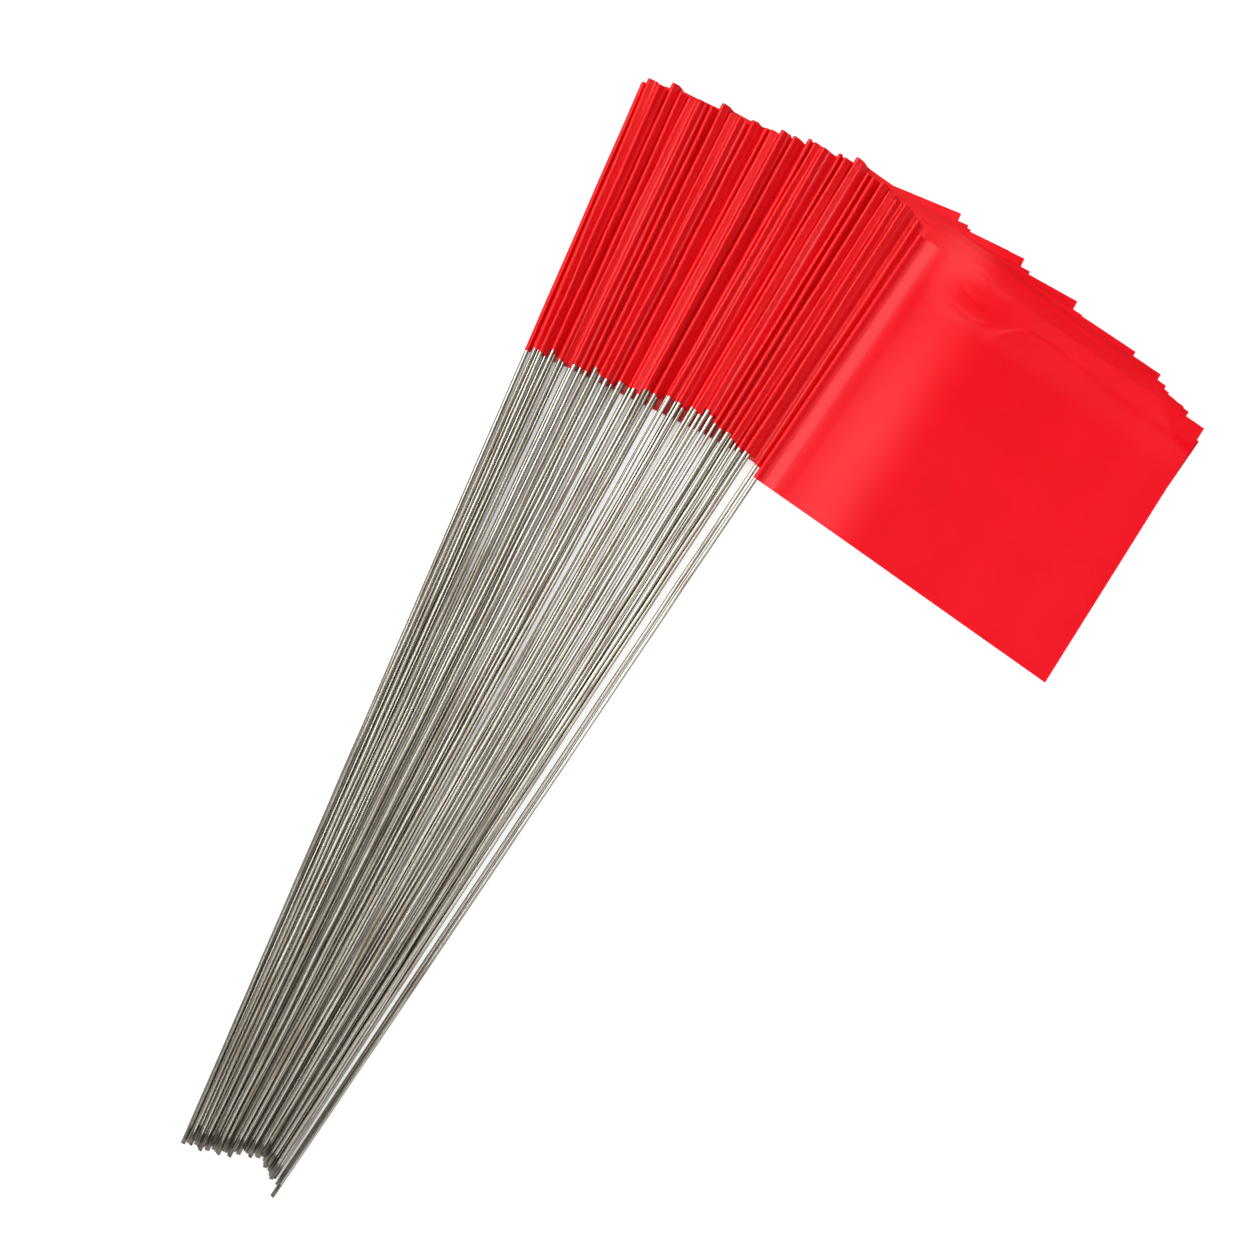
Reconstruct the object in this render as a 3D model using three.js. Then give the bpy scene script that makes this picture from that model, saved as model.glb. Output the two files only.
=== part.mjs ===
// A fanned bundle of wire-staff marking flags, lying flat: straight steel wire staffs, each with a
// PVC film flag whose edge is folded round the top of the staff and sealed into a sleeve.
// Millimetres, +Z up. +Y runs from the feet of the staffs to the flags along the middle of the fan,
// and the films point towards +X. Flag 01 lies on the table, and each next flag lies on the one before.
// The origin is at the bottom centre of the whole bundle's box.
import * as THREE from 'three';

// Driving dimensions
const FLAG_COUNT = 30; // the flags that are drawn as solids
const STAFF_LENGTH = 402;
const WIRE_DIAMETER = 1.6;
const FILM_WIDTH = 119.5; // from the staff's centre line to the free edge
const FILM_HEIGHT = 102; // along the staff, so also the length of the sleeve
const FILM_THICKNESS = 0.1;
const FILM_AIR = 0.16; // between one flag's film and the next
const SEAM_WIDTH = 5; // the doubled strip beside the staff, where the film is sealed to itself
const SLEEVE_CLEARANCE = 0.05; // round the wire in its sleeve
const STAFF_INSET = 1; // how far the wire's top stops below the sleeve's
const FAN_ANGLE = THREE.MathUtils.degToRad(10.5); // from the first flag to the last
const FOOT_RADIUS = 199.5; // from the point where the staffs' lines would meet, to their feet
const PILE_SLIP = 6.3; // how far the flags two thirds of the way up the pile have slipped out
const TOP_SLIP = -2.5; // how far the top flag has slipped out, so it has slipped back
const LOOSE_SLIP = 3; // how unevenly the flags were put together
const LOOSE_ANGLE = 0.14; // the unevenness of the fan's spacing, as a share of one step
const NEST_SPREAD = 0.787; // how far apart two crossing wires are, in wire diameters, when they start to sink
const SIDES = 8; // of a wire and of its sleeve
const STAFF_STEPS = 10; // along a wire
const COLOURS = { steel: 0x8f8b80, film: 0xec1029 };

// What follows from them
const flatToCorner = 1 / Math.cos(Math.PI / SIDES);
const wireRadius = WIRE_DIAMETER / 2;
const boreRadius = wireRadius + SLEEVE_CLEARANCE;
const sleeveRadius = boreRadius + FILM_THICKNESS;
const filmPitch = FILM_THICKNESS + FILM_AIR;
const fanStep = FAN_ANGLE / (FLAG_COUNT - 1);
const sleeveStart = STAFF_LENGTH + STAFF_INSET - FILM_HEIGHT; // along the staff, from its foot
const footLayerRise = WIRE_DIAMETER + 2 * SLEEVE_CLEARANCE;
const nestLength = Math.max(0, (NEST_SPREAD * WIRE_DIAMETER) / fanStep - FOOT_RADIUS); // from the feet, where the wires stay in their layers

// An even spread of values from -0.5 to 0.5, which looks random and never changes
const uneven = (index, stride) => ((index * stride) % 1) - 0.5;

// A regular polygon's corners, anticlockwise, with flat sides facing along the axes
function polygon(radius, centreY = 0) {
  const corners = [];
  for (let i = 0; i < SIDES; i++) {
    const turn = ((i + 0.5) * 2 * Math.PI) / SIDES - Math.PI / 2;
    const reach = radius * flatToCorner;
    corners.push(new THREE.Vector2(reach * Math.cos(turn), centreY + reach * Math.sin(turn)));
  }
  return corners;
}

// The line of a wire: level in its sleeve, then sinking smoothly to the height of its foot's layer
class StaffLine extends THREE.Curve {
  constructor(footHeight, sleeveHeight) {
    super();
    this.footHeight = footHeight;
    this.sleeveHeight = sleeveHeight;
  }

  getPoint(t, target = new THREE.Vector3()) {
    const along = t * STAFF_LENGTH;
    const toSleeve = Math.max(0, sleeveStart - along) / (sleeveStart - nestLength);
    const sunk = (this.sleeveHeight - this.footHeight) * Math.min(1, toSleeve) ** 2;
    return target.set(0, along, this.sleeveHeight - sunk);
  }
}

function wireGeometry(footHeight, sleeveHeight) {
  const extrudePath = new StaffLine(footHeight, sleeveHeight);
  const section = new THREE.Shape(polygon(wireRadius));
  return new THREE.ExtrudeGeometry(section, { extrudePath, steps: STAFF_STEPS, bevelEnabled: false });
}

// The film seen along the staff: the flat sheet, the doubled seam, and the sleeve round the bore
function filmSection() {
  const sleeve = polygon(sleeveRadius, sleeveRadius);
  const seamTop = 2 * FILM_THICKNESS;
  const [lowRight, right] = sleeve;
  const climb = (seamTop - lowRight.y) / (right.y - lowRight.y);
  const seamStart = lowRight.x + climb * (right.x - lowRight.x);
  const outline = [
    new THREE.Vector2(FILM_WIDTH, 0),
    new THREE.Vector2(FILM_WIDTH, FILM_THICKNESS),
    new THREE.Vector2(SEAM_WIDTH, FILM_THICKNESS),
    new THREE.Vector2(SEAM_WIDTH, seamTop),
    new THREE.Vector2(seamStart, seamTop),
    ...sleeve.slice(1),
  ];
  const section = new THREE.Shape(outline);
  section.holes.push(new THREE.Path(polygon(boreRadius, sleeveRadius).reverse()));
  return section;
}

function filmGeometry(bottom) {
  const geometry = new THREE.ExtrudeGeometry(filmSection(), { depth: FILM_HEIGHT, bevelEnabled: false });
  geometry.rotateX(Math.PI / 2);
  geometry.translate(0, sleeveStart + FILM_HEIGHT, bottom);
  return geometry;
}

// How far out a flag lies along its own line, from 0 for a neat bundle
function slip(index) {
  if (index === FLAG_COUNT - 1) return TOP_SLIP;
  const through = index / (FLAG_COUNT - 1);
  const slid = PILE_SLIP * Math.exp(-(((through - 0.68) / 0.27) ** 2));
  return slid + LOOSE_SLIP * uneven(index, 0.618);
}

// One flag is a group whose own origin is under the foot of its wire, with +Y along the staff
function makeFlag(index) {
  const flag = new THREE.Group();
  const name = String(index + 1).padStart(2, '0');
  const bottom = index * filmPitch;
  const footHeight = wireRadius + (index % 2) * footLayerRise;
  const wire = new THREE.Mesh(
    wireGeometry(footHeight, bottom + sleeveRadius),
    new THREE.MeshStandardMaterial({ color: COLOURS.steel, roughness: 0.35, metalness: 1 }),
  );
  wire.name = `wire_${name}`;
  const film = new THREE.Mesh(
    filmGeometry(bottom),
    new THREE.MeshStandardMaterial({ color: COLOURS.film, roughness: 0.4, metalness: 0 }),
  );
  film.name = `film_${name}`;
  flag.add(wire, film);

  const ends = index === 0 || index === FLAG_COUNT - 1;
  const shift = ends ? 0 : LOOSE_ANGLE * uneven(index, 0.755);
  const turn = -FAN_ANGLE / 2 + (index + shift) * fanStep;
  const radius = FOOT_RADIUS + slip(index);
  flag.position.set(radius * Math.sin(turn), radius * Math.cos(turn), 0);
  flag.rotation.z = -turn;
  return flag;
}

const bundle = new THREE.Group();
for (let index = 0; index < FLAG_COUNT; index++) bundle.add(makeFlag(index));

// Puts the origin at the bottom centre of the bundle's box
const box = new THREE.Box3().setFromObject(bundle, true);
const centre = box.getCenter(new THREE.Vector3());
bundle.position.set(-centre.x, -centre.y, -box.min.z);

export default bundle;
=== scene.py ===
"""A fanned bundle of red marking flags on steel wire staffs, lying on a pale table."""
import math

import bmesh
import bpy
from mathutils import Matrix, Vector, noise


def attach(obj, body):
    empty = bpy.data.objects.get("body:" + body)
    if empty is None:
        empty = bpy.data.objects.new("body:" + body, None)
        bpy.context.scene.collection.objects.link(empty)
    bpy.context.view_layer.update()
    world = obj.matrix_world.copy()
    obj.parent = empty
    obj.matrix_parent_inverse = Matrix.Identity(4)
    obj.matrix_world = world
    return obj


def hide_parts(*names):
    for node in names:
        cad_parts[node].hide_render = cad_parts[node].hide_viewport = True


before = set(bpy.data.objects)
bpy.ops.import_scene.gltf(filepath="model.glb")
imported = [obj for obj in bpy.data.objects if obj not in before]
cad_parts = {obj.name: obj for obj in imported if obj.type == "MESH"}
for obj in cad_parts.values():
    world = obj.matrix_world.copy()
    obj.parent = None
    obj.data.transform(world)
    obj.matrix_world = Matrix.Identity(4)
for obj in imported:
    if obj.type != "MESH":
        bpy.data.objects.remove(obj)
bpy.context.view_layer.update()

MM = 0.001

# Sizes of the flags and of their pile, as the solids have them, in metres
FLAG_COUNT = 30
STAFF_LENGTH = 402 * MM
WIRE_RADIUS = 0.8 * MM
SLEEVE_RADIUS = 0.95 * MM
FILM_WIDTH = 119.5 * MM
FILM_HEIGHT = 102 * MM
SEAM_WIDTH = 5 * MM
SLEEVE_START = 301 * MM
FILM_PITCH = 0.26 * MM
FOOT_LAYER = 1.7 * MM
FAN_ANGLE = math.radians(10.5)
FAN_STEP = FAN_ANGLE / (FLAG_COUNT - 1)
FOOT_RADIUS = 199.5 * MM
PILE_SLIP = 6.3 * MM  # how far the flags two thirds of the way up the pile have slipped out
TOP_SLIP = -2.5 * MM
LOOSE_SLIP = 3 * MM
LOOSE_ANGLE = 0.14
APEX = Vector((-58.98008 * MM, -403.46823 * MM, 0))  # where the lines of the staffs meet
TOP, SECOND = FLAG_COUNT - 1, FLAG_COUNT - 2  # the places of the two highest flags

# The thin sheets of the pile: the height of each layer's middle above its flag's own plane
FILM_THICKNESS = 0.045 * MM
SHEET_LEVEL = 0.03 * MM
SEAM_LEVEL = 0.085 * MM
BETWEEN_RISE = 0.11 * MM  # a flag that lies between two of the counted ones

# The flat sheets that the films are cut from, in metres
FLAT_WIDTH, FLAT_HEIGHT = 0.1285, 0.102
WIDER = {SECOND: 0.1325, TOP: 0.1303}

# How loosely the bundle was put together
LOOSE_GAPS = (11, 15, 18, 21, 27, 28)  # where no flag lies between
FURTHEST = (0, 7, 12.7, 19.8, 23.1, 29)  # the films whose free corners reach furthest
CREST = 1.1 * MM  # how high the sleeves ride up on each other
CRESTED = 27  # the last flag that does
NUDGED = {27: -0.5 * MM, 28: 0.5 * MM}  # the flags that lie a little to one side
REACH = 4  # wires further apart than this in the fan never touch
TOP_SEAM = 7 * MM  # how wide the top film's seam is
SECOND_TURN = 12 * MM  # from its staff, where the second film starts to turn under


def uneven(index, stride):
    """An even spread of values from -0.5 to 0.5, which looks random and never changes."""
    return (index * stride) % 1 - 0.5


def ease(low, high, value):
    """0 below low, 1 above high, and a smooth climb between."""
    t = min(1, max(0, (value - low) / (high - low)))
    return t * t * (3 - 2 * t)


def slip(place):
    """How far out a flag lies along its own line."""
    if place == TOP:
        return TOP_SLIP
    through = place / (FLAG_COUNT - 1)
    slid = PILE_SLIP * math.exp(-(((through - 0.68) / 0.27) ** 2))
    return slid + LOOSE_SLIP * uneven(place, 0.618)


def crest(place):
    """How high a sleeve rides up on its neighbours, in groups of two or three."""
    if place > CRESTED:
        return 0
    return CREST * max(0, math.sin(1.62 * place + 0.6 * math.sin(0.9 * place)))


def ended(point, nearness):
    """How many films, from the lowest up, end before they reach a point of the fan."""
    reach = point - APEX
    away = math.hypot(reach.x, reach.y)
    turn = math.atan2(reach.x, reach.y) + FAN_ANGLE / 2
    lower_edge = FOOT_RADIUS + SLEEVE_START + 3 * MM
    past_free_edge = turn - math.asin(FILM_WIDTH / away)
    past_lower_edge = turn - math.acos(min(1, lower_edge / away))
    past = max(past_free_edge, past_lower_edge * nearness - (1 - nearness))
    count = past / FAN_STEP - 1.5
    return (count + math.sqrt(count**2 + 4)) / 2  # never less than none, without a kink


class Flag:
    """One flag of the fan: where it lies, and the line and height of its staff."""

    def __init__(self, place):
        self.place = place
        self.between = place % 1 > 0
        # a flag that lies between two others has its film over the sleeve to its right
        self.over = self.between
        self.order = place + self.over  # its turn in the pile
        self.top = place == TOP
        self.body = f"flag_{int(self.order) + 1:02d}"
        self.name = self.body + ("b" if self.between else "")
        loose_angle = 0.3 if self.between else LOOSE_ANGLE
        shift = 0 if place in (0, TOP) else loose_angle * uneven(place, 0.755)
        turn = -FAN_ANGLE / 2 + (place + shift) * FAN_STEP
        self.along = Vector((math.sin(turn), math.cos(turn), 0))
        self.side = Vector((math.cos(turn), -math.sin(turn), 0))
        self.slid = slip(place)
        if self.between:
            self.slid = slip(int(self.order)) + (0.5 + 1.6 * uneven(place, 0.39)) * MM
        self.foot = APEX + self.along * (FOOT_RADIUS + self.slid)
        self.plane = int(self.order) * FILM_PITCH + (BETWEEN_RISE if self.between else 0)
        self.foot_height = WIRE_RADIUS + (int(place) % 2) * FOOT_LAYER
        # how far the wire is bent
        loose = (0.9 if self.between else 0.32) * MM
        self.bow = 2 * loose * uneven(place + 3, 0.4142)
        self.sway = 1.4 * loose * uneven(place + 5, 0.7321)
        self.ripple = 0.3 * loose
        self.nudge = NUDGED.get(place, 0)
        self.lift = None

    def wander(self, y):
        """How far the staff bends to the side of its straight line."""
        turn = math.pi * y / STAFF_LENGTH
        bend = self.bow * math.sin(turn) + self.sway * math.sin(2 * turn)
        return bend + self.nudge + self.ripple * noise.noise(Vector((self.place * 3.3, y * 45, 0)))

    def staff_height(self, y):
        """The height of the staff's centre line."""
        level = int(self.place) * FILM_PITCH + SLEEVE_RADIUS
        level += crest(self.place) * ease(0.5 * SLEEVE_START, SLEEVE_START, y)
        height = level - (level - self.foot_height) * max(0, 1 - y / SLEEVE_START) ** 2
        if self.lift:
            steps = len(self.lift) - 1
            at = min(steps - 1e-6, max(0, y / STAFF_LENGTH * steps))
            low, part = int(at), at % 1
            height += self.lift[low] * (1 - part) + self.lift[low + 1] * part
        return height

    def girth(self, y):
        return SLEEVE_RADIUS if y > SLEEVE_START - MM else WIRE_RADIUS

    def point(self, x, y, z):
        return self.foot + self.side * x + self.along * y + Vector((0, 0, z))

    def local(self, point):
        """The distance to the side of the staff's straight line, and along it."""
        reach = point - self.foot
        return reach.dot(self.side), reach.dot(self.along)

    def drape(self, x, y):
        """The level of the plane that the film lies on, over the sleeves that it crosses."""
        at = self.point(x, y, 0)
        level = self.plane * self.held_up(at, x)
        for sleeve in self.crosses:
            side, along = sleeve.local(at)
            if along > STAFF_LENGTH + 3 * MM:
                continue
            apart = abs(side - sleeve.wander(along))
            room = sleeve.girth(along) + 0.05 * MM
            # round over the sleeve, then straight down to the sheets below
            steep = self.fall if side > 0 else 1
            length = math.hypot(1, steep)
            if apart < steep / length * room:
                rise = math.sqrt(room**2 - apart**2)
            else:
                rise = room * length - steep * apart
            level = max(level, sleeve.staff_height(along) + rise)
        return level

    def held_up(self, at, x):
        """The share of the films under this one that lie under a place on it."""
        if x < 6 * MM or self.order < 1:
            return 1
        # the film is stiff enough to stay level beside its staff
        gone = ended(at, 0.8 * ease(8 * MM, 70 * MM, x)) * ease(14 * MM, 80 * MM, x)
        return max(0, 1 - gone / self.order)

    def settle(self, others, steps=60):
        """Lifts the staff until it lies on the others that it crosses."""
        lift = []
        for step in range(steps + 1):
            y = step * STAFF_LENGTH / steps
            at = self.point(self.wander(y), y, 0)
            base = need = self.staff_height(y)
            for other in others:
                x, along = other.local(at)
                if not -2 * MM < along < STAFF_LENGTH + 2 * MM:
                    continue
                apart = x - other.wander(along)
                room = self.girth(y) + other.girth(along) + 0.08 * MM
                if abs(apart) < room:
                    need = max(need, other.staff_height(along) + math.sqrt(room**2 - apart**2))
            lift.append(need - base)
        for _ in range(6):  # a wire can't bend sharply
            lift = [
                max(here, (lift[max(0, i - 1)] + lift[min(steps, i + 1)]) / 2)
                for i, here in enumerate(lift)
            ]
        self.lift = lift


def fan_of_flags():
    """All flags, from the lowest of the pile up, each lying on those that it crosses."""
    counted = [Flag(n) for n in range(FLAG_COUNT)]
    between = [Flag(n + 0.5) for n in range(FLAG_COUNT - 1) if n not in LOOSE_GAPS]
    # every second one is settled on the counted flags, and the rest on all of these
    even, odd = ([f for f in between if int(f.place) % 2 == parity] for parity in (0, 1))
    for flag in even:
        flag.settle([f for f in counted if abs(f.place - flag.place) < REACH])
    laid = counted + even
    for flag in odd:
        flag.settle([f for f in laid if abs(f.place - flag.place) < REACH])
        laid.append(flag)
    flags = sorted(counted + between, key=lambda f: f.order)
    for flag in flags:
        flag.crosses = [f for f in flags if f.place > flag.place and f.order < flag.order]
        covered = any(f.place < flag.place < f.order for f in between)
        flag.roomy = flag.place in LOOSE_GAPS and not covered
        # how steeply its film falls beyond the sleeve that it covers
        flag.fall = 0.9 if int(flag.order) in LOOSE_GAPS else 2.5
    return flags


flags = fan_of_flags()
top_flag = flags[-1]


# ------------------------------------------------------------------ finishes


class Value:
    """A socket of a material, on which Python's own signs do the sums."""

    def __init__(self, finish, socket):
        self.finish, self.socket = finish, socket

    def __add__(self, other):
        return self.finish.maths("ADD", self, other)

    def __sub__(self, other):
        return self.finish.maths("SUBTRACT", self, other)

    def __rsub__(self, other):
        return self.finish.maths("SUBTRACT", other, self)

    def __mul__(self, other):
        return self.finish.maths("MULTIPLY", self, other)

    __radd__, __rmul__ = __add__, __mul__


class Finish:
    """The nodes that make one material, or the light of the room."""

    def __init__(self, owner):
        self.owner = owner
        owner.use_nodes = True
        self.tree = owner.node_tree
        self.tree.nodes.clear()

    def node(self, kind, settings=None, sockets=None, out=0):
        made = self.tree.nodes.new(kind)
        for key, value in (settings or {}).items():
            if key == "stops":
                self.set_stops(made.color_ramp, value)
            else:
                setattr(made, key, value)
        for key, value in (sockets or {}).items():
            if isinstance(value, Value):
                self.tree.links.new(value.socket, made.inputs[key])
            else:
                made.inputs[key].default_value = value
        return Value(self, made.outputs[out])

    def set_stops(self, ramp, stops):
        while len(ramp.elements) < len(stops):
            ramp.elements.new(0.5)
        for element, (place, colour) in zip(ramp.elements, stops):
            element.position, element.color = place, (*colour, 1)

    def end(self, kind, shader):
        out = self.tree.nodes.new(kind)
        self.tree.links.new(shader.socket, out.inputs["Surface"])
        return self.owner

    def maths(self, operation, *values):
        return self.node("ShaderNodeMath", {"operation": operation}, dict(enumerate(values)))

    def step(self, value, low, high):
        return self.node(
            "ShaderNodeMapRange",
            {"interpolation_type": "SMOOTHSTEP"},
            {"Value": value, "From Min": low, "From Max": high},
        )

    def mix(self, factor, first, second):
        first, second = ((*c, 1) if isinstance(c, tuple) else c for c in (first, second))
        # the colour sockets are the seventh and eighth, and the colour result the third
        sockets = {0: factor, 6: first, 7: second}
        return self.node("ShaderNodeMix", {"data_type": "RGBA"}, sockets, out=2)

    def attribute(self, name):
        return self.node("ShaderNodeAttribute", {"attribute_name": name}, out="Vector")

    def split(self, vector):
        parts = self.node("ShaderNodeSeparateXYZ", sockets={"Vector": vector}).socket.node
        return [Value(self, part) for part in parts.outputs]

    def scaled(self, vector, scale, turn=0):
        return self.node(
            "ShaderNodeMapping",
            sockets={"Vector": vector, "Scale": scale, "Rotation": (0, 0, turn)},
        )

    def cloud(self, vector, scale, detail=3):
        return self.node(
            "ShaderNodeTexNoise",
            sockets={"Vector": vector, "Scale": scale, "Detail": detail, "Roughness": 0.5},
        )

    def bump(self, height, depth, under=None):
        sockets = {"Height": height, "Distance": depth, "Strength": 1}
        if under:
            sockets["Normal"] = under
        return self.node("ShaderNodeBump", sockets=sockets)

    def shade(self, **sockets):
        named = {key.replace("_", " "): value for key, value in sockets.items()}
        shader = self.node("ShaderNodeBsdfPrincipled", sockets=named)
        return self.end("ShaderNodeOutputMaterial", shader)


def film_finish():
    """Red flexible vinyl: glossy, faintly mottled, with soft stripes along the staff, and painted
    shade, painted highlights and a painted sheen in its colour.
    """
    f = Finish(bpy.data.materials.new("red_vinyl_film"))
    lay = f.attribute("lay")  # across the film, along the staff, and 1 on the seam
    seal = f.split(lay)[2]
    # 1 round the staff and 0 on the flat sheet, and each film's own tone
    fold, tone = f.split(f.attribute("sheet"))[:2]
    mottle = f.cloud(f.scaled(lay, (1, 1, 40)), 55, 4)
    bands_and_painted_light = f.cloud(f.scaled(lay, (260, 14, 40)), 1)
    grain = f.cloud(f.scaled(lay, (2600, 700, 40), turn=0.6), 1, 2)

    # painted light: the flat sheet is tinted as if light came through it, and the folds round the
    # staffs get a purer tint with painted shade and painted highlights
    red_and_painted_light = f.mix(f.step(mottle, 0.35, 0.65), (0.94, 0.0001, 0.009), (0.98, 0.0003, 0.012))
    red_and_painted_light = f.mix(fold * 0.9, red_and_painted_light, (0.96, 0, 0.002))
    # painted shade: dark stripes on the folds round the staffs
    red_and_painted_light = f.mix(f.step(bands_and_painted_light, 0.62, 0.4) * fold * 0.45, red_and_painted_light, (0.62, 0, 0))
    # painted highlights: bright stripes on the folds round the staffs
    red_and_painted_light = f.mix(f.step(bands_and_painted_light, 0.52, 0.72) * fold * 0.5, red_and_painted_light, (1, 0.004, 0.014))
    red_and_painted_light = f.mix(tone * (0.5 - 0.35 * fold), red_and_painted_light, (0.66, 0, 0.006))
    # painted sheen: a pale pink tint on the sealed seam
    red_and_painted_light = f.mix(seal * (1 - fold * 0.6) * 0.4, red_and_painted_light, (1, 0.05, 0.08))

    # fine relief: waves along the staff, the film's grain, and a few specks of dust under it
    dots = f.node(
        "ShaderNodeTexVoronoi", {"feature": "F1"}, {"Vector": lay, "Scale": 420}, out="Distance"
    )
    speck = (1 - f.step(dots, 0.02, 0.13)) * f.step(f.cloud(lay, 130, 2), 0.6, 0.68)
    wave = f.bump(bands_and_painted_light * (0.12 + 0.6 * fold), 0.2 * MM)
    fine = f.bump(grain, 0.012 * MM, wave)
    return f.shade(
        Base_Color=red_and_painted_light,
        Roughness=0.28 - 0.12 * fold + 0.06 * bands_and_painted_light + 0.05 * grain,
        Normal=f.bump(speck, 0.06 * MM, fine),
        Specular_IOR_Level=0.16,
    )


def wire_finish():
    """Drawn steel wire: bright, streaked along its length, with brown tarnish."""
    f = Finish(bpy.data.materials.new("drawn_steel_wire"))
    lay = f.attribute("lay")  # the section's own place, and along the staff
    streak = f.cloud(f.scaled(lay, (3000, 12, 3000)), 1)
    patch = f.cloud(f.scaled(lay, (300, 28, 300)), 1, 4)
    nicks = f.cloud(f.scaled(lay, (900, 900, 900)), 1, 2)
    steel = f.mix(f.step(streak, 0.3, 0.7), (0.2, 0.178, 0.145), (0.52, 0.49, 0.44))
    drawn = f.bump(streak, 0.008 * MM)
    return f.shade(
        Base_Color=f.mix(f.step(patch, 0.52, 0.7) * 0.6, steel, (0.15, 0.105, 0.065)),
        Roughness=0.18 + 0.14 * streak + 0.1 * f.step(patch, 0.5, 0.7),
        Metallic=1.0,
        Normal=f.bump(nicks, 0.01 * MM, drawn),
    )


def table_finish():
    """Glows white, with painted shade where the wires lie close over it."""
    f = Finish(bpy.data.materials.new("pale_table"))
    place = f.node("ShaderNodeTexCoord", out="Object")
    open_sky_for_painted_shade = f.node("ShaderNodeAmbientOcclusion", {"samples": 8}, {"Distance": 12 * MM}, out="AO")
    return f.shade(
        Base_Color=f.mix(f.cloud(place, 3, 2), (0.4, 0.4, 0.4), (0.43, 0.43, 0.43)),
        Roughness=0.9,
        Specular_IOR_Level=0.1,
        # painted shade: the glow is taken away where the wires lie close over the table
        Emission_Color=f.mix(f.step(open_sky_for_painted_shade, 0.06, 0.34), (0, 0, 0), (1, 1, 1)),
        Emission_Strength=0.8,
    )


FILM, WIRE = film_finish(), wire_finish()


def finished(bm, name, material, smooth=True):
    """Makes the piece's object, which stays at the origin, from its mesh."""
    mesh = bpy.data.meshes.new(name)
    bm.to_mesh(mesh)
    bm.free()
    mesh.materials.append(material)
    if smooth:
        mesh.shade_smooth()
    piece = bpy.data.objects.new(name, mesh)
    bpy.context.scene.collection.objects.link(piece)
    return piece


# ------------------------------------------------------------------ the wires


def make_staff(flag):
    """A drawn wire, sheared at its foot, which follows the line of its staff."""
    bm = bmesh.new()
    bmesh.ops.create_cone(
        bm, cap_ends=True, segments=14, radius1=WIRE_RADIUS, radius2=WIRE_RADIUS, depth=1
    )
    upright = [e for e in bm.edges if abs(e.verts[0].co.z - e.verts[1].co.z) > 0.5]
    bmesh.ops.subdivide_edges(bm, edges=upright, cuts=72)
    lay = bm.verts.layers.float_vector.new("lay")
    shear = 0.5 * uneven(flag.place + 1, 0.37)
    for v in bm.verts:
        across, up, t = v.co.x, v.co.y, v.co.z + 0.5
        y = t * STAFF_LENGTH
        if t < 1e-6:
            y += shear * (across + up)
        v[lay] = (across + flag.place * 0.01, y, up)
        v.co = flag.point(flag.wander(y) + across, y, flag.staff_height(y) + up)
    bmesh.ops.recalc_face_normals(bm, faces=bm.faces)
    staff = finished(bm, flag.name + "_wire", WIRE)
    for p in staff.data.polygons:
        if len(p.vertices) > 4:  # an end
            p.use_smooth = False
    return staff


# ------------------------------------------------------------------ the films

# Waves that the pile shares, each with its own turns per metre across and along the staffs
WAVES = [
    (2 * math.pi / across, 2 * math.pi / along)
    for across, along in ((0.047, 0.31), (0.029, -0.23), (0.083, 0.12))
]
# How the top film billows, from the staff out: how high it climbs, from where, to where
BILLOW_STEPS = (
    (0.75, 1.5, 8.5),
    (-0.12, 8.5, 13),
    (2.0, 12, 36),
    (-1.2, 38, 62),
    (0.5, 70, 98),
    (-0.6, 99, 119),
)


def add_up_waves():
    """Gives each film the waves of all films below it and its own."""
    sines, cosines = [0] * len(WAVES), [0] * len(WAVES)
    for rank, flag in enumerate(flags):
        for m in range(len(WAVES)):
            phase = 0.11 * rank * (m + 1) + 2.2 * uneven(rank + m, 0.618)
            sines[m] += math.cos(phase)
            cosines[m] += math.sin(phase)
        flag.rank = rank + 1
        flag.sines, flag.cosines = list(sines), list(cosines)


add_up_waves()


def billow(x, y):
    """How far the top film stands off the one below it."""
    rise = sum(height * ease(start * MM, end * MM, x) for height, start, end in BILLOW_STEPS)
    rise *= 1 - 0.45 * ease(345 * MM, 396 * MM, y) * ease(8 * MM, 16 * MM, x)
    uneven_rise = 1 + noise.noise(Vector((x * 30, y * 14, 3)))
    return rise + 0.12 * ease(10 * MM, 30 * MM, x) * uneven_rise


def pile_swell(flag, point):
    """How far this film is lifted by its own billow and the loose waves of the sheets below."""
    x, y = top_flag.local(point)
    if x < 1.5 * MM:
        return 0
    rise = billow(x, y) if flag.top else 0
    waves = 0
    for (across, along), sine, cosine in zip(WAVES, flag.sines, flag.cosines):
        turn = across * x + along * y
        waves += (flag.rank + math.sin(turn) * sine + math.cos(turn) * cosine) / 2
    near_edge = ease(384 * MM, 405 * MM, y) + 0.7 * ease(98 * MM, 121 * MM, x)
    waves *= ease(4 * MM, 30 * MM, x) * (0.003 + 0.036 * min(1, near_edge))
    return (rise + waves) * MM


def edge_below(x, y):
    """How far the top film is held up by the film under it, which ends short of its far edge."""
    line = -16.5 + 10 * ease(36 * MM, 50 * MM, x) - 2.4 * ease(60 * MM, 96 * MM, x)
    line = (line + 0.5 * noise.noise(Vector((x * 160, 0, 7)))) * MM
    crease = max(0, 1 - 7 * abs(noise.noise(Vector((x * 60, y * 90, 5)))))
    crease *= ease(16 * MM, 30 * MM, x) * (1 - ease(70 * MM, 90 * MM, x))
    crease *= ease(372 * MM, 388 * MM, y)
    soft = (1 + 1.6 * (1 - ease(34 * MM, 48 * MM, x)) + ease(50 * MM, 80 * MM, x)) * MM
    beyond = y - SLEEVE_START - FILM_HEIGHT
    before = 1 - ease(line - 0.7 * soft, line + 1.1 * soft, beyond)
    return (0.26 * before * ease(18 * MM, 44 * MM, x) + 0.07 * crease) * MM


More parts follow.
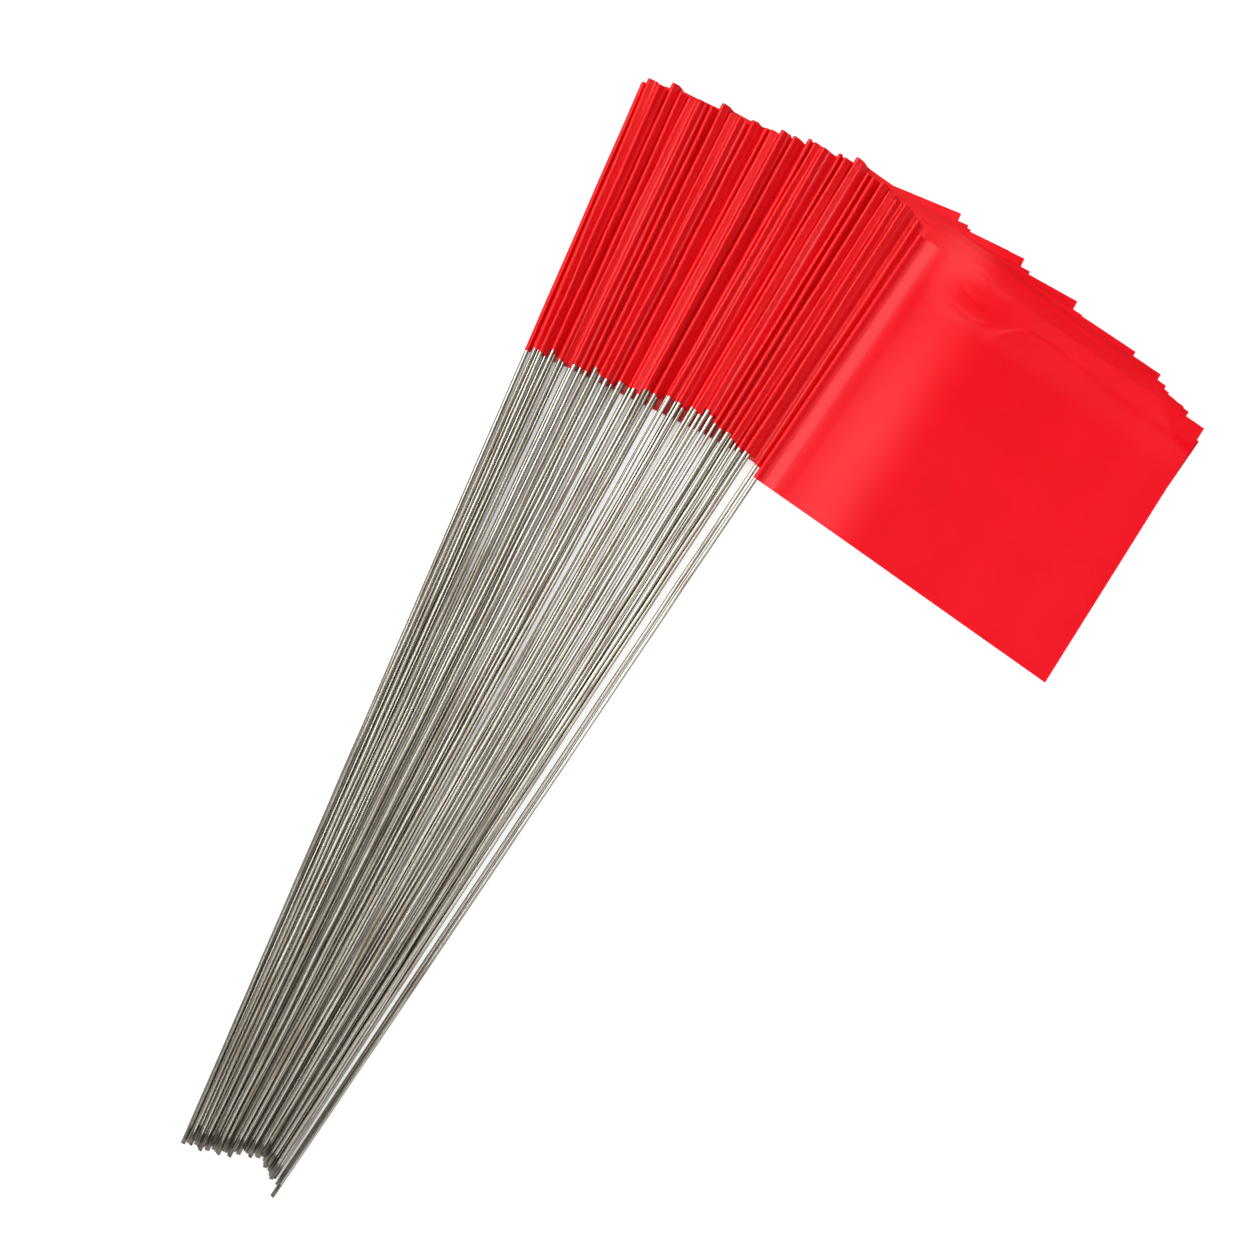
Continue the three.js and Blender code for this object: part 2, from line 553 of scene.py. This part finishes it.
def film_stations(flag):
    """The places along the film's section, from the seam's edge round the staff to the free edge."""
    seams = 16 if flag.over else 4
    stations = [("seam", k / seams) for k in range(seams)]
    stations += [("bridge", k / 4) for k in range(4)]
    stations += [("tube", k / 16) for k in range(16)]
    if flag.over:  # fine enough to drop sharply from the sleeve that it covers
        stations += [("sheet", 0.25 * k * MM) for k in range(20)]
        stations += [("sheet", (5 + 0.4 * k) * MM) for k in range(6)]
    else:
        stations += [("sheet", x * MM) for x in (0, 0.15, 0.3, 0.45, 0.62, 1, 1.6, 2.4, 3.5)]
    start = stations[-1][1] + 1.3 * MM
    count = 210 if flag.top else 44
    stations += [("sheet", start + (FILM_WIDTH - start) * k / count) for k in range(count + 1)]
    return stations


class Row:
    """One row of a film: its share of the way up, and where the staff is there."""

    def __init__(self, flag, t):
        self.t = t
        self.y = SLEEVE_START + t * FILM_HEIGHT
        self.centre, self.height = flag.wander(self.y), flag.staff_height(self.y)


class Sheet:
    """How one film runs: its seam lies flat, bridges up to the staff and goes round it, and out."""

    def __init__(self, flag):
        self.flag = flag
        self.radius = SLEEVE_RADIUS - 0.5 * FILM_THICKNESS
        self.seam_width = TOP_SEAM if flag.top else SEAM_WIDTH
        # where the seam's side of the fold leaves the staff, and where it meets the sheet
        free = uneven(flag.place + 2, 0.271) + 0.5
        if flag.top:
            leave, weld = 38, 2.1
        elif flag.over:  # taut from the top of one sleeve to the next
            leave, weld = 84 - 16 * free, 1.7 + 0.3 * free
        elif flag.roomy:
            leave, weld = 50 + 28 * free, 1.9 + 0.7 * free
        else:
            leave, weld = 25 + 15 * free, 1.35 + 0.12 * free
        self.leave, self.weld = math.radians(leave), weld * MM
        self.end = math.radians(365 if flag.over else 270)
        self.start = self.radius * math.cos(self.end) if flag.over else 0
        # the loose film turns a little on its staff, so that the free corners lie in steps
        reach = math.exp(-((min(abs(flag.order - c) for c in FURTHEST) / 0.9) ** 2))
        corner = (3 * reach - 2.3 + 0.5 * uneven(flag.place + 4, 0.347)) * MM
        self.skew = 0 if flag.top else (corner - flag.slid) / FILM_WIDTH
        self.round_top = (0.8 + 0.7 * uneven(flag.place + 7, 0.7)) * MM

    def dip(self, x, turn):
        """How far the film's upper edge is rounded off at the sleeve, and dips beside it."""
        if turn is not None:
            return self.round_top * (1 - max(0, math.sin(turn))) ** 1.5
        if self.flag.over:
            dip = 1.2 * self.round_top * min(1, ((x - 1.2 * MM) / (2.8 * MM)) ** 2)
            return dip * (1 - ease(6 * MM, 40 * MM, x))
        return self.round_top * max(0, 1 - abs(x - self.radius) / (3 * MM))

    def laid(self, row, x, turn=None):
        """Where a place on the film lies, across from and along the staff's straight line."""
        right, wide = max(0, x), 1
        along = row.y - self.dip(x, turn) * ease(0.9, 1, row.t) + self.skew * right
        if self.flag.top:
            along -= 0.02 * (1 - row.t) * right
            wide = 1 + 0.03 * (1 - row.t)
        elif self.flag.place == SECOND:  # its far corner is turned under
            along -= 0.06 * row.t * max(0, x - SECOND_TURN)
            wide = 1.03 + 0.012 * row.t
        return x * wide + row.centre * math.exp(-right / (25 * MM)), along

    def level(self, row, x, layer):
        return self.flag.drape(*self.laid(row, x)) + layer

    # The four parts of the section. Each gives x, the height, the length round the section,
    # 1 where the film is sealed to itself, and the turn round the wire where it has one.

    def tube(self, row, value):
        turn = self.leave + (self.end - self.leave) * value
        x, z = self.radius * math.cos(turn), row.height + self.radius * math.sin(turn)
        return x, z, -self.radius * (turn - self.leave), 0, turn

    def bridge(self, row, value):
        low = self.level(row, self.weld, SEAM_LEVEL)
        high = row.height + self.radius * math.sin(self.leave)
        x = self.weld + (self.radius * math.cos(self.leave) - self.weld) * value
        z = low + (high - low) * value
        if self.flag.over:
            inside = abs(x) < self.radius
            round_wire = math.sqrt(self.radius**2 - x**2) if inside else -self.radius
            z = max(z, self.level(row, x, SEAM_LEVEL), row.height + round_wire)
        else:
            x -= math.sin(math.pi * value) * 0.12 * MM
        return x, z, x, 1 - value, None

    def seam(self, row, value):
        x = self.seam_width + (self.weld - self.seam_width) * value
        return x, self.level(row, x, SEAM_LEVEL), x, 1, None

    def sheet(self, row, value):
        x = value + self.start * math.exp(-value / (2 * MM))
        low = row.height + self.radius * math.sin(self.end)
        level = self.level(row, x, SHEET_LEVEL)
        if self.flag.over:
            z = max(level, low - 2 * (x - self.start))
        else:
            z = low + (level - low) * ease(0, 0.6 * MM, x)
        return x, z, x + 4 * MM, 0, None

    def place(self, row, kind, value):
        """A point of the film in the room, and its x, its length round the section and its seal."""
        x, z, arc, seal, turn = getattr(self, kind)(row, value)
        across, along = self.laid(row, x, turn)
        at = self.flag.point(across, along, z)
        if kind in ("sheet", "seam"):
            at.z += pile_swell(self.flag, at) * (0.3 + 0.7 * self.flag.held_up(at, x))
        if self.flag.top:
            at.z += edge_below(x, along)
        return at, x, arc, seal


def make_film(flag):
    """A sheet of vinyl whose edge is folded round the staff and sealed to itself."""
    stations, shape, rows = film_stations(flag), Sheet(flag), {}
    tone = 0 if flag.top else uneven(flag.place, 0.618) + 0.5
    last = len(stations) - 1
    bm = bmesh.new()
    bmesh.ops.create_grid(bm, x_segments=last, y_segments=190 if flag.top else 36, size=1)
    lay = bm.verts.layers.float_vector.new("lay")
    sheet = bm.verts.layers.float_vector.new("sheet")
    for e in bm.edges:
        e.smooth = not e.is_boundary
    for v in bm.verts:
        t = (v.co.y + 1) / 2
        if not flag.top:  # finer rows near both edges
            t = 0.5 * t + 0.5 * ease(0, 1, t)
        if t not in rows:
            rows[t] = Row(flag, t)
        station = stations[round((v.co.x + 1) / 2 * last)]
        at, x, arc, seal = shape.place(rows[t], *station)
        v[lay] = (arc + flag.place * 0.013, rows[t].y + flag.place * 0.0071, seal)
        v[sheet] = ((0.35 if flag.top else 1) * (1 - ease(4 * MM, 12 * MM, x)), tone, 0)
        v.co = at
    film = finished(bm, flag.name + "_film", FILM)
    shell = film.modifiers.new("thickness", "SOLIDIFY")
    shell.thickness = FILM_THICKNESS
    shell.offset = 0
    return film


def lay_out(flags):
    """Makes the flags from the lowest up, each film resting on the one below it."""
    for flag in flags:
        wire, film = make_staff(flag), make_film(flag)
        for piece, node in ((wire, "wire"), (film, "film")):
            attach(piece, flag.body)
            if not flag.between:
                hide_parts(f"{node}_{int(flag.place) + 1:02d}")
        width = WIDER.get(flag.place, FLAT_WIDTH)


lay_out(flags)


# ------------------------------------------------------------------ table, light and camera

TABLE_REACH = 8
CAMERA_HEIGHT = 2.427
FAN_TURN = math.radians(28.76)  # how far the fan's middle line is turned in the view


def make_table():
    bm = bmesh.new()
    bmesh.ops.create_grid(bm, x_segments=1, y_segments=1, size=TABLE_REACH)
    bmesh.ops.translate(bm, vec=(0, 0, -0.05 * MM), verts=bm.verts)
    table = finished(bm, "table_top", table_finish(), smooth=False)
    table.visible_glossy = False  # the wires mirror the pale room instead


def make_room():
    """A pale room, brightest at and below the horizon."""
    room = Finish(bpy.data.worlds.new("studio"))
    up = room.split(room.node("ShaderNodeTexCoord", out="Generated"))[2]
    stops = ((0, (0.66, 0.65, 0.63)), (0.5, (0.27, 0.27, 0.265)), (0.95, (0.1, 0.1, 0.1)))
    shade = room.node("ShaderNodeValToRGB", {"stops": stops}, {"Fac": up})
    glow = room.node("ShaderNodeBackground", sockets={"Color": shade})
    bpy.context.scene.world = room.end("ShaderNodeOutputWorld", glow)


def softbox(name, place, size, power):
    """A soft lamp that faces the fan."""
    lamp = bpy.data.lights.new(name, "AREA")
    lamp.shape = "RECTANGLE"
    lamp.size, lamp.size_y = size
    lamp.energy = power
    holder = bpy.data.objects.new(name, lamp)
    holder.location = place
    holder.rotation_euler = (-Vector(place)).to_track_quat("-Z", "Y").to_euler()
    bpy.context.scene.collection.objects.link(holder)


def make_camera():
    """Looks straight down on the fan."""
    camera = bpy.data.cameras.new("camera")
    camera.lens, camera.sensor_width = 200, 36
    holder = bpy.data.objects.new("camera", camera)
    holder.location = (-0.0280, 0.0258, CAMERA_HEIGHT)
    holder.rotation_euler = (0, 0, FAN_TURN)
    bpy.context.scene.collection.objects.link(holder)
    bpy.context.scene.camera = holder
    bpy.context.scene.view_settings.view_transform = "Standard"


make_table()
make_room()
softbox("softbox_left", (-1.5, 0.5, 1.5), (0.9, 2.4), 33)
softbox("softbox_right", (1.5, -0.4, 1.7), (0.9, 2.2), 12)
softbox("softbox_high", (-0.52, 0.15, 2.6), (0.5, 1.7), 16)
make_camera()
